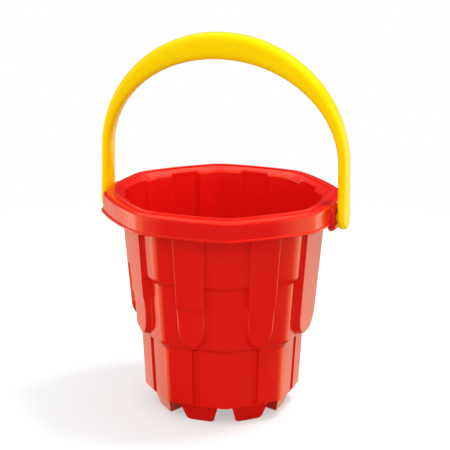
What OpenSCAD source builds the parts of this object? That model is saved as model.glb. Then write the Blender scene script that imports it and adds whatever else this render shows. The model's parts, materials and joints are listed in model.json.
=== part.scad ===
// Child's sand bucket shaped like a castle tower, with a swinging bail handle.
// Z is up, X is the handle's hinge axis, and the origin is the middle of the base.
// A "corner radius" is the distance from the axis to a corner of the eight-sided plan.

/* [Bucket height] */
// Height of the battlement feet
foot_height = 14.7; // [10:0.1:20]
// Height of the plain lower tower
tower_height = 43.5; // [30:0.5:60]
// Height of the sloped ledge above the lower tower
ledge_height = 3; // [2:0.1:5]
// Height of the sunk fields between the tongues
recess_height = 46.5; // [30:0.5:60]
// Height of the slope below the raised panels
soffit_height = 2.4; // [1:0.1:5]
// Height from the panels' lower edge to the top of the rim
panel_height = 54.6; // [50:0.1:75]

/* [Bucket plan] */
// Corner radius of the lower tower at its foot
base_radius = 58; // [48:0.5:70]
// How far the sunk fields stand out past the lower tower
ledge_step = 3.4; // [1.5:0.1:6]
// How far the panels stand out past the sunk fields
panel_step = 3; // [1:0.1:6]
// Draft of the lower tower in degrees
tower_draft = 3.4; // [1:0.1:6]
// Draft of the upper body in degrees
body_draft = 5; // [1:0.1:7]
// How far each side bows out, as a share of the corner radius
body_bow = 0.015; // [0.005:0.001:0.04]

/* [Wall] */
// Thickness of the moulded wall
wall = 2.2; // [1.6:0.1:2.8]

/* [Tongues] */
// How far the tongues stand out past the panels
tongue_proud = 3.3; // [1.5:0.1:4]
// Half width of the six narrow tongues at the panels' lower edge
tongue_half = 11.2; // [8:0.1:14]
// Half width of the two wide tongues below the handle's ears
wide_tongue_half = 19.6; // [16:0.1:21]
// Height of the tongues' tips above the lower edge of the sunk fields
tongue_tip_rise = 0.2; // [-2:0.1:6]
// Height of the rounded part of a tongue's tip
tongue_round = 17; // [8:0.5:20]
// Height of a narrow tongue's step above its tip
tongue_step_rise = 30.6; // [24:0.2:38]
// Depth of that step
tongue_step = 1.9; // [0.5:0.1:2.5]
// Width of the groove down each side of the lower tower
groove_width = 5.4; // [3:0.1:8]
// Depth of that groove
groove_depth = 2.2; // [0.5:0.1:3]

/* [Feet] */
// How far the feet draw in from the tower's foot to the ground
foot_inset = 8.8; // [4:0.1:12]
// Depth of a foot at the ground, from its outside towards the axis
foot_depth = 17.2; // [14:0.1:22]
// Half width of the gaps between the feet at the top
gap_top_half = 6; // [4:0.1:8]
// Half width of the gaps between the feet at the ground
gap_foot_half = 8.4; // [5:0.1:10]

/* [Rim] */
// How far the lip stands out past the body, at the corners
rim_reach = 15.6; // [13:0.1:20]
// How far the lip stands out past the skirt
lip_proud = 1.2; // [0.6:0.1:2]
// Height of the lip
lip_height = 1.7; // [1:0.1:3]
// Height of the skirt from the lip's lower edge to the top of the rim
skirt_height = 15.8; // [12:0.1:18]
// Radius of the shoulder between the skirt and the top
shoulder = 4.2; // [2:0.1:6]
// Width of the raised bead round the opening
bead_width = 1.8; // [1:0.1:3]
// Height of that bead
bead_height = 1; // [0.5:0.1:2]
// Width of the rim's flat top between the shoulder and the bead
rim_top_width = 2.9; // [1:0.1:5]
// How far each side of the rim bows out, as a share of the corner radius
rim_bow = 0.034; // [0.005:0.001:0.04]

/* [Handle] */
// Height of the hinge axis below the top of the rim
hinge_drop = 12.2; // [9:0.1:14]
// Free space between an ear and the handle's leg
leg_gap = 0.9; // [0.5:0.1:5]
// Thickness of a leg, measured along the hinge
leg_thick = 7.2; // [5:0.1:10]
// Width of the handle, measured across the hinge
handle_width = 14; // [10:0.5:18]
// Radius of the rounded lower end of a leg
leg_end_radius = 8.5; // [7:0.1:10]
// Height of the straight legs above the hinge
leg_height = 37.5; // [20:0.5:50]
// How far the handle swings to each side before it meets the body, in degrees
swing_limit = 138; // [100:1:150]
// Room between the handle's top at that limit and the side of the sunk fields' foot
crown_gap = 8.25; // [6:0.05:20]
// Thickness of the grip at the top of the arch
grip_thick = 18.6; // [10:0.1:24]
// How far the legs lean in from the hinge to the arch
leg_lean = 0.5; // [0:0.1:3]

/* [Ears and pegs] */
// Radius of an ear round its peg's hole
ear_radius = 10.8; // [8:0.1:12]
// How far an ear stands out past the lip
ear_proud = 1.6; // [0.5:0.1:3]
// Radius of a handle peg
peg_radius = 3.8; // [2.5:0.1:5]
// Radial clearance of a peg in its hole
peg_clearance = 0.1; // [0.05:0.01:0.1]
// How far the snap head stands out round its peg
head_step = 1.1; // [0.6:0.1:2]
// Length of that head
head_length = 2.4; // [1.5:0.1:4]
// Play between the head and the inside of the skirt
head_play = 0.5; // [0.3:0.1:1]

/* [Hidden] */

SIDES = 8;
SIDE_STEPS = 4;
TIP_STEPS = 12;
ARCH_STEPS = 40;
ARC_STEP = 18;
// Exponent of a tongue's tip: 1 is an ellipse, and less is fuller at the corners.
TIP_FULLNESS = 0.8;
// How much of the body's draft a tongue's edges follow
EDGE_DRAFT = 1 / 3;
// Overlap that joins two solids, and the height of a step that looks sharp
FUSE = 0.2;
THIN = 0.05;
FAR = 400;
half_side = 180 / SIDES;

tower_top_z = foot_height + tower_height;
recess_z = tower_top_z + ledge_height;
recess_top_z = recess_z + recess_height;
panel_z = recess_top_z + soffit_height;
rim_z = panel_z + panel_height;
lip_z = rim_z - skirt_height;
land_z = rim_z - bead_height;
hinge_z = rim_z - hinge_drop;
tongue_tip_z = recess_z + tongue_tip_rise;
tongue_step_z = tongue_tip_z + tongue_step_rise;

stand_r = base_radius - foot_inset;
ring_inside_r = stand_r - foot_depth;
tower_top_r = base_radius + tower_height * tan(tower_draft);
recess_r = tower_top_r + ledge_step;
recess_top_r = recess_r + recess_height * tan(body_draft);
panel_r = recess_top_r + panel_step;
function panel_r_at(z) = panel_r + (z - panel_z) * tan(body_draft);
function tongue_r_at(z) = panel_r_at(z) + tongue_proud;

lip_r = panel_r_at(lip_z) + rim_reach;
skirt_r = lip_r - lip_proud;
land_r = skirt_r - shoulder;
bead_r = land_r - rim_top_width;
mouth_r = bead_r - bead_width;
rim_under_z = land_z - wall;
skirt_inside_r = skirt_r - wall;

lip_apothem = lip_r * (cos(half_side) + rim_bow);
skirt_inside_apothem = skirt_inside_r * (cos(half_side) + rim_bow);
ear_x = lip_apothem + ear_proud;
leg_in_x = ear_x + leg_gap;
leg_out_x = leg_in_x + leg_thick;
hole_r = peg_radius + peg_clearance;

side_reach = recess_r * (cos(half_side) + body_bow);
hang = 180 - swing_limit;
crown_in = (side_reach + crown_gap + handle_width / 2 * cos(hang)) / sin(hang);
arch_outer = crown_in + grip_thick - leg_height;

// One side of the plan as [distance from the axis, place along the side], unit corner radius.
function side_point(bow, s) =
    [cos(half_side) + bow * (1 - s * s), sin(half_side) * s];
function turned(p, a) = [p[0] * cos(a) - p[1] * sin(a), p[0] * sin(a) + p[1] * cos(a)];
function plan(bow) = [
    for (k = [0 : SIDES - 1], j = [0 : SIDE_STEPS - 1])
        turned(side_point(bow, 2 * j / SIDE_STEPS - 1), 2 * half_side * k)
];

// Solid with the bowed plan, through a list of [corner radius, height] levels.
module loft(levels, bow) {
    ring = plan(bow);
    n = len(ring);
    last = len(levels) - 1;
    points = [for (l = levels, p = ring) [l[0] * p[0], l[0] * p[1], l[1]]];
    sides = [
        for (i = [0 : last - 1], j = [0 : n - 1])
            [i * n + j, (i + 1) * n + j, (i + 1) * n + (j + 1) % n, i * n + (j + 1) % n]
    ];
    bottom = [for (j = [0 : n - 1]) j];
    top = [for (j = [n - 1 : -1 : 0]) last * n + j];
    polyhedron(points, concat(sides, [bottom], [top]));
}

// Straight eight-sided bar from one height to another.
module octagon_bar(corner_r, low_z, high_z) {
    translate([0, 0, low_z])
        rotate([0, 0, half_side])
            cylinder(h = high_z - low_z, r = corner_r, $fn = SIDES);
}

// Outline of a tongue seen from the front; inset moves it in by a wall.
module tongue_outline(half, inset, top_z) {
    w = half - inset;
    flare = (top_z - panel_z) * tan(body_draft) * EDGE_DRAFT;
    tip_z = tongue_tip_z + inset;
    round_z = tip_z + tongue_round;
    sink = (panel_z - round_z) * tan(body_draft) * EDGE_DRAFT;
    tip = [for (i = [0 : TIP_STEPS])
        let (a = 180 + 180 * i / TIP_STEPS)
        [(w - sink) * sign(cos(a)) * pow(abs(cos(a)), TIP_FULLNESS), round_z + tongue_round * sin(a)]];
    polygon(concat(tip, [[w + flare, top_z], [-w - flare, top_z]]));
}

// Runs its flat children out from the axis towards each side in the list.
module on_sides(sides) {
    for (k = sides)
        rotate([0, 0, 2 * half_side * k])
            rotate([90, 0, 90])
                linear_extrude(FAR) children();
}

WIDE_SIDES = [0, 4];
NARROW_SIDES = [1, 2, 3, 5, 6, 7];

module tongues(inset, top_z) {
    low_z = tongue_tip_z - 1;
    step_z = tongue_step_z - inset;
    intersection() {
        loft([[tongue_r_at(low_z) - inset, low_z], [tongue_r_at(top_z) - inset, top_z]], body_bow);
        on_sides(WIDE_SIDES) tongue_outline(wide_tongue_half, inset, top_z);
    }
    intersection() {
        loft([
            [tongue_r_at(step_z) - inset - tongue_step - 1, low_z],
            [tongue_r_at(step_z) - inset - tongue_step, step_z],
            [tongue_r_at(step_z) - inset, step_z + FUSE],
            [tongue_r_at(top_z) - inset, top_z]
        ], body_bow);
        on_sides(NARROW_SIDES) tongue_outline(tongue_half, inset, top_z);
    }
}

// Bars that cut the grooves, or that leave their backs standing inside.
module groove_bars(inset, low_z, high_z) {
    reach = base_radius * (cos(half_side) + body_bow);
    for (k = [0 : SIDES - 1])
        rotate([0, 0, 2 * half_side * k])
            translate([reach - groove_depth - inset, -groove_width / 2 - inset, low_z])
                rotate([0, tower_draft, 0])
                    cube([base_radius, groove_width + 2 * inset, high_z - low_z]);
}

// Wedges that part the feet, running out from the axis through the corners.
module foot_gaps(inset) {
    slope = (gap_foot_half - gap_top_half) / foot_height;
    top_half = gap_top_half + inset;
    foot_half = gap_foot_half + inset;
    for (k = [0 : SIDES - 1])
        rotate([0, 0, half_side * (2 * k + 1)])
            rotate([90, 0, 90])
                linear_extrude(FAR)
                    polygon([
                        [-foot_half - slope, -1],
                        [foot_half + slope, -1],
                        [top_half - slope * inset, foot_height + inset],
                        [-top_half + slope * inset, foot_height + inset]
                    ]);
}

module body_outside() {
    difference() {
        loft([[stand_r, 0], [base_radius, foot_height]], body_bow);
        foot_gaps(0);
        octagon_bar(ring_inside_r, -1, foot_height);
    }
    difference() {
        loft([
            [base_radius, foot_height],
            [tower_top_r, tower_top_z],
            [recess_r, recess_z],
            [recess_top_r, recess_top_z],
            [panel_r, panel_z],
            [panel_r_at(rim_under_z + FUSE), rim_under_z + FUSE]
        ], body_bow);
        groove_bars(0, foot_height, tower_top_z + FUSE);
    }
    tongues(0, rim_under_z + FUSE);
}

module body_inside() {
    floor_z = foot_height + wall;
    inside_top_z = rim_under_z - 1;
    difference() {
        loft([
            [stand_r + wall * foot_inset / foot_height - wall, wall],
            [base_radius - wall, floor_z + FUSE]
        ], body_bow);
        foot_gaps(wall);
        octagon_bar(ring_inside_r + wall, 0, floor_z + wall);
    }
    difference() {
        loft([
            [base_radius - wall, floor_z],
            [tower_top_r - wall, tower_top_z + wall],
            [recess_r - wall, recess_z + wall],
            [recess_top_r - wall, recess_top_z + wall],
            [panel_r - wall, panel_z + wall],
            [panel_r_at(inside_top_z) - wall, inside_top_z],
            [mouth_r, land_z - FUSE],
            [mouth_r, rim_z + 1]
        ], body_bow);
        groove_bars(wall, 0, tower_top_z + wall);
    }
    intersection() {
        tongues(wall, rim_z + 1);
        octagon_bar(FAR, 0, land_z);
    }
}

// Quarter round from the skirt's side to the rim's flat top.
function shoulder_levels(r, z, radius) = [
    for (a = [0 : ARC_STEP : 90]) [r - radius * (1 - cos(a)), z - radius * (1 - sin(a))]
];

module rim() {
    difference() {
        loft(concat(
            [
                [lip_r, lip_z],
                [lip_r, lip_z + lip_height],
                [skirt_r, lip_z + lip_height + FUSE]
            ],
            shoulder_levels(skirt_r, land_z, shoulder),
            [[bead_r, land_z + THIN], [bead_r - FUSE, rim_z - THIN], [mouth_r, rim_z]]
        ), rim_bow);
        loft([
            [skirt_inside_r, lip_z - 1],
            [skirt_inside_r, rim_under_z - shoulder + wall],
            [land_r, rim_under_z]
        ], rim_bow);
    }
}

// Round bosses on the two sides that carry the handle.
module ears() {
    for (side = [0, 180])
        rotate([0, 0, side])
            translate([skirt_inside_apothem, 0, hinge_z])
                rotate([0, 90, 0])
                    cylinder(h = ear_x - skirt_inside_apothem, r = ear_radius, $fn = 96);
}

module peg_holes() {
    for (side = [0, 180])
        rotate([0, 0, side])
            translate([skirt_inside_apothem - 1, 0, hinge_z])
                rotate([0, 90, 0])
                    cylinder(h = ear_x - skirt_inside_apothem + 2, r = hole_r, $fn = 64);
}

module bucket() {
    color("red")
        difference() {
            union() {
                difference() {
                    union() {
                        body_outside();
                        rim();
                    }
                    body_inside();
                }
                ears();
            }
            peg_holes();
        }
}

// Points of a half ellipse from one leg to the other.
function arch(half_span, rise, base_z) = [
    for (i = [0 : ARCH_STEPS])
        let (a = 180 * i / ARCH_STEPS) [half_span * cos(a), base_z + rise * sin(a)]
];

// Flat outline between two half ellipses, with straight legs down to the hinge.
module bail_outline() {
    arch_z = hinge_z + leg_height;
    difference() {
        polygon(concat(
            arch(leg_out_x - leg_lean, arch_outer, arch_z),
            [[-leg_out_x, hinge_z], [leg_out_x, hinge_z]]
        ));
        polygon(concat(
            arch(leg_in_x - leg_lean, arch_outer - grip_thick, arch_z),
            [[-leg_in_x, hinge_z], [-leg_in_x, hinge_z - 1], [leg_in_x, hinge_z - 1], [leg_in_x, hinge_z]]
        ));
    }
}

// Round leg end with its peg and snap head, along +Z from the middle of the hinge.
module leg_end() {
    head_z = skirt_inside_apothem - head_play;
    translate([0, 0, leg_in_x])
        cylinder(h = leg_thick, r = leg_end_radius, $fn = 64);
    translate([0, 0, head_z - FUSE])
        cylinder(h = leg_in_x - head_z + 2 * FUSE, r = peg_radius, $fn = 64);
    translate([0, 0, head_z - head_length])
        cylinder(h = head_length, r = peg_radius + head_step, $fn = 64);
}

module handle() {
    color("gold") {
        rotate([90, 0, 0])
            linear_extrude(handle_width, center = true)
                bail_outline();
        for (side = [0, 180])
            rotate([0, 0, side])
                translate([0, 0, hinge_z])
                    rotate([0, 90, 0])
                        leg_end();
    }
}

bucket();
handle();
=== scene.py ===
"""Child's sand bucket shaped like a castle tower, with a swinging bail handle.

Sizes in the classes are millimetres, and MM turns them into the metres of the frame.
The bucket is one red moulding and the handle one yellow moulding that swings on two pegs.
"""
import json
import logging
import math
from dataclasses import dataclass
from enum import Enum

import bmesh
import bpy
import numpy as np
from mathutils import Matrix, Quaternion, Vector


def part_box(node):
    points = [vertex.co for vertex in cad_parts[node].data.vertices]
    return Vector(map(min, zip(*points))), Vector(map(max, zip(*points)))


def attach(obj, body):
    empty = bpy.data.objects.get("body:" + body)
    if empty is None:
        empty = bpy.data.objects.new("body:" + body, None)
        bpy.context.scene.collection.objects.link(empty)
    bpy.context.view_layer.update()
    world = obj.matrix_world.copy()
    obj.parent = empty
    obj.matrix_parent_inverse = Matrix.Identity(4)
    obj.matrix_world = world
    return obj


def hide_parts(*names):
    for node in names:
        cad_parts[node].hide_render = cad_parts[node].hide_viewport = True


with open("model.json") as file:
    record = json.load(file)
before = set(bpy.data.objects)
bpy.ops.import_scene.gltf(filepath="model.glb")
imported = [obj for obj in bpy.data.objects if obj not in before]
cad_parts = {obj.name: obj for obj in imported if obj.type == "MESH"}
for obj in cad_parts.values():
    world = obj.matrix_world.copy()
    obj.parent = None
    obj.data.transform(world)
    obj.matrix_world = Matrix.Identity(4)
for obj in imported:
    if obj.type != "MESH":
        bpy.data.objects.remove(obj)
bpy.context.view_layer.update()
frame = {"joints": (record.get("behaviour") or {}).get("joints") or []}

MM = 0.001
SIDES = 8
HALF_TURN = math.pi / SIDES
COS_HALF = math.cos(HALF_TURN)
SIN_HALF = math.sin(HALF_TURN)
WELD = 1e-3
SOFT_READS = 9
MARK_ROWS = (-1.5, -0.8, 0.0, 0.8, 1.5)
CORNER_POINTS = 5
ROUND_POINTS = 49
SHARP_ANGLE = 38
FLOOR_RINGS = ((0.4, 0.0), (1.5, 0.0), (4.0, 0.0), (6.0, 0.02))
FLOOR_SIDES = 64

logging.basicConfig(level=logging.INFO, format="%(message)s")
log = logging.getLogger("sand_bucket")


class SideKind(Enum):
    """The two kinds of side: six carry a narrow tongue, and two a wide one under an ear."""

    NARROW = "narrow"
    WIDE = "wide"


# ---------------------------------------------------------------- mesh helpers


class Patchwork:
    """Closed surface sewn from grids of points whose edges meet."""

    def __init__(self) -> None:
        """Starts with no points and no faces."""
        self.points: list[tuple[float, float, float]] = []
        self.faces: list[tuple[int, ...]] = []
        self.index: dict[tuple[int, int, int], int] = {}

    def vertex(self, point: np.ndarray) -> int:
        """Returns the index of the vertex at point, welding it to one already there.

        Args:
            point: Place of the vertex in millimetres.

        Returns:
            The vertex's index.
        """
        key = tuple(int(round(value / WELD)) for value in point)
        if key not in self.index:
            self.index[key] = len(self.points)
            self.points.append(tuple(float(value) for value in point))
        return self.index[key]

    def add(self, grid: np.ndarray, flip: bool = False) -> None:
        """Adds a grid of points as quads, and drops the ones that have no area.

        Args:
            grid: Array of rows, columns and three coordinates.
            flip: True turns the faces round.
        """
        ids = [[self.vertex(point) for point in row] for row in grid]
        for upper, lower in zip(ids, ids[1:]):
            for j in range(len(upper) - 1):
                ring = [upper[j], upper[j + 1], lower[j + 1], lower[j]]
                kept = [v for k, v in enumerate(ring) if v != ring[k - 1]]
                if len(set(kept)) > 2:
                    self.faces.append(tuple(kept[::-1] if flip else kept))

    def add_mirrored(self, grid: np.ndarray, flip: bool = False) -> None:
        """Adds a half side's grid and its mirror image across the middle of the side."""
        self.add(grid, flip)
        self.add(grid * np.array([1.0, -1.0, 1.0]), not flip)

    def mesh(self, name: str) -> bpy.types.Mesh:
        """Returns the surface as a mesh in metres.

        Args:
            name: Name of the mesh.

        Returns:
            The mesh, with every face so far.
        """
        mesh = bpy.data.meshes.new(name)
        mesh.from_pydata([tuple(c * MM for c in p) for p in self.points], [], self.faces)
        mesh.validate()
        return mesh


def soft(values: np.ndarray, marks: list[float], heights: list[float], reach: float) -> np.ndarray:
    """Reads a bent line whose corners are rounded over a short reach.

    Args:
        values: Places to read.
        marks: Rising places of the line's corners.
        heights: The line's value at each corner.
        reach: Half the length of the rounding.

    Returns:
        The rounded line's value at each place.
    """
    shifts = np.linspace(-reach, reach, SOFT_READS)
    reads = [np.interp(np.asarray(values, float) + shift, marks, heights) for shift in shifts]
    return np.mean(reads, axis=0)


def packed(marks: list[float], reach: float, low: float, high: float, gap: float) -> np.ndarray:
    """Places rows between two limits, close together at each mark.

    Args:
        marks: Places where the shape bends.
        reach: Half the length of the rounding there.
        low: Lowest row.
        high: Highest row.
        gap: Widest space between two rows.

    Returns:
        The rows' places, rising.
    """
    wanted = {low, high}
    for mark in marks:
        for share in MARK_ROWS:
            wanted.add(mark + share * reach)
    rows = sorted(v for v in wanted if low <= v <= high)
    kept = [rows[0]]
    for v in rows[1:-1]:
        if v - kept[-1] > reach * 0.25 and high - v > reach * 0.25:
            kept.append(v)
    kept.append(high)
    filled = [kept[0]]
    for v in kept[1:]:
        count = max(1, math.ceil((v - filled[-1]) / gap))
        filled.extend(np.linspace(filled[-1], v, count + 1)[1:])
    return np.array(filled)


def rounded_path(points: list[tuple[float, float]], radii: list[float]) -> np.ndarray:
    """Rounds the corners of an open path.

    Args:
        points: Corners of the path.
        radii: How far from each corner its rounding starts; 0 keeps a point as it is.

    Returns:
        Points along the rounded path, with a holding point next to each rounding.
    """
    steps = np.linspace(0.0, 1.0, CORNER_POINTS)
    out = []
    last = len(points) - 1
    for i, (corner, radius) in enumerate(zip(points, radii)):
        corner = np.array(corner, float)
        if i in (0, last) or radius == 0:
            out.append(corner)
            continue
        before, after = np.array(points[i - 1], float), np.array(points[i + 1], float)
        back, ahead = before - corner, after - corner
        near = min(radius, 0.48 * np.linalg.norm(back), 0.48 * np.linalg.norm(ahead))
        start = corner + back / np.linalg.norm(back) * near
        end = corner + ahead / np.linalg.norm(ahead) * near
        hold = 0.04 * near
        out.append(start + back / np.linalg.norm(back) * hold)
        out.extend((1 - s) ** 2 * start + 2 * s * (1 - s) * corner + s * s * end for s in steps)
        out.append(end + ahead / np.linalg.norm(ahead) * hold)
    return np.array(out)


@dataclass(frozen=True)
class Plan:
    """Eight-sided plan whose sides bow out and whose corners are rounded.

    Attributes:
        bow: How far a side bows out, as a share of the corner radius.
        straight: Share of half a side that the corner's rounding leaves.
    """

    bow: float
    straight: float

    def points(self, shares: np.ndarray) -> np.ndarray:
        """Places for a corner radius of one.

        Args:
            shares: Places along half a side, from 0 in its middle to 1 at the corner.

        Returns:
            Rows of outward distance and place along the side.
        """
        s = np.asarray(shares, float)
        flat = np.stack([COS_HALF + self.bow * (1 - s * s), SIN_HALF * s], axis=-1)
        edge = self.straight
        start = np.array([COS_HALF + self.bow * (1 - edge * edge), SIN_HALF * edge])
        slope = np.array([-2 * self.bow * edge, SIN_HALF])
        run = (start[1] * COS_HALF - start[0] * SIN_HALF) / (slope[0] * SIN_HALF - slope[1] * COS_HALF)
        corner = start + run * slope
        bisector = np.array([COS_HALF, SIN_HALF])
        end = 2 * (start @ bisector) * bisector - start
        t = (0.5 * np.clip((s - edge) / (1 - edge), 0, 1))[..., None]
        curve = (1 - t) ** 2 * start + 2 * t * (1 - t) * corner + t * t * end
        return np.where((s > edge)[..., None], curve, flat)


# ---------------------------------------------------------------- bucket


@dataclass(frozen=True)
class BucketSizes:
    """Sizes of the bucket in millimetres. A radius is from the axis to a corner of the plan.

    Attributes:
        rim_z: Height of the rim's top, from the frame.
        lip_y: Distance from the axis to the middle of a side of the lip, from the frame.
        ear_x: Distance from the axis to an ear's outer face.
        hinge_z: Height of the handle's hinge, from the frame.
    """

    rim_z: float
    lip_y: float
    ear_x: float
    hinge_z: float
    foot_height: float = 14.7
    tower_height: float = 43.5
    ledge_height: float = 3.0
    recess_height: float = 46.5
    soffit_height: float = 2.4
    base_radius: float = 58.5
    foot_inset: float = 8.8
    foot_depth: float = 17.2
    foot_set_back: float = 4.5
    ledge_step: float = 3.4
    panel_step: float = 3.0
    tower_draft: float = 3.4
    body_draft: float = 5.0
    body_bow: float = 0.015
    straight: float = 0.84
    rim_bow: float = 0.034
    wall: float = 2.2
    tongue_proud: float = 2.9
    narrow_half: float = 11.2
    wide_half: float = 19.6
    tip_rise: float = 0.6
    tongue_round: float = 16.2
    step_rise: float = 30.8
    step_depth: float = 1.1
    step_softness: float = 3.6
    groove_half: float = 2.7
    groove_depth: float = 2.2
    gap_top_half: float = 5.0
    gap_foot_half: float = 8.4
    lip_proud: float = 1.2
    lip_height: float = 1.7
    skirt_height: float = 15.8
    shoulder: float = 4.2
    rim_top_width: float = 2.9
    bead_width: float = 1.8
    bead_height: float = 1.0
    ear_radius: float = 10.8
    ear_draft: float = 2.0
    hole_radius: float = 3.9

    @property
    def tower_top_z(self) -> float:
        """Height of the lower tower's top."""
        return self.foot_height + self.tower_height

    @property
    def recess_z(self) -> float:
        """Lower edge of the sunk fields."""
        return self.tower_top_z + self.ledge_height

    @property
    def recess_top_z(self) -> float:
        """Upper edge of the sunk fields."""
        return self.recess_z + self.recess_height

    @property
    def panel_z(self) -> float:
        """Lower edge of the panels."""
        return self.recess_top_z + self.soffit_height

    @property
    def land_z(self) -> float:
        """Height of the rim's flat top, below its bead."""
        return self.rim_z - self.bead_height

    @property
    def under_z(self) -> float:
        """Height of the rim's underside."""
        return self.land_z - self.wall

    @property
    def lip_z(self) -> float:
        """Height of the lip's lower edge."""
        return self.rim_z - self.skirt_height

    @property
    def tower_top_r(self) -> float:
        """Radius of the lower tower's top."""
        return self.base_radius + self.tower_height * math.tan(math.radians(self.tower_draft))

    @property
    def recess_r(self) -> float:
        """Radius at the sunk fields' lower edge."""
        return self.tower_top_r + self.ledge_step

    @property
    def slope(self) -> float:
        """How much the body widens for each millimetre of height."""
        return math.tan(math.radians(self.body_draft))

    @property
    def recess_top_r(self) -> float:
        """Radius at the sunk fields' upper edge."""
        return self.recess_r + self.recess_height * self.slope

    @property
    def panel_r(self) -> float:
        """Radius at the panels' lower edge."""
        return self.recess_top_r + self.panel_step

    @property
    def lip_r(self) -> float:
        """Radius of the lip."""
        return self.lip_y / (COS_HALF + self.rim_bow)

    @property
    def skirt_r(self) -> float:
        """Radius of the skirt."""
        return self.lip_r - self.lip_proud

    @property
    def land_r(self) -> float:
        """Radius where the shoulder meets the rim's flat top."""
        return self.skirt_r - self.shoulder

    @property
    def bead_r(self) -> float:
        """Outer radius of the bead."""
        return self.land_r - self.rim_top_width

    @property
    def mouth_r(self) -> float:
        """Radius of the mouth."""
        return self.bead_r - self.bead_width

    def panel_r_at(self, z: float) -> float:
        """Radius of the panels at a height."""
        return self.panel_r + (z - self.panel_z) * self.slope


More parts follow.
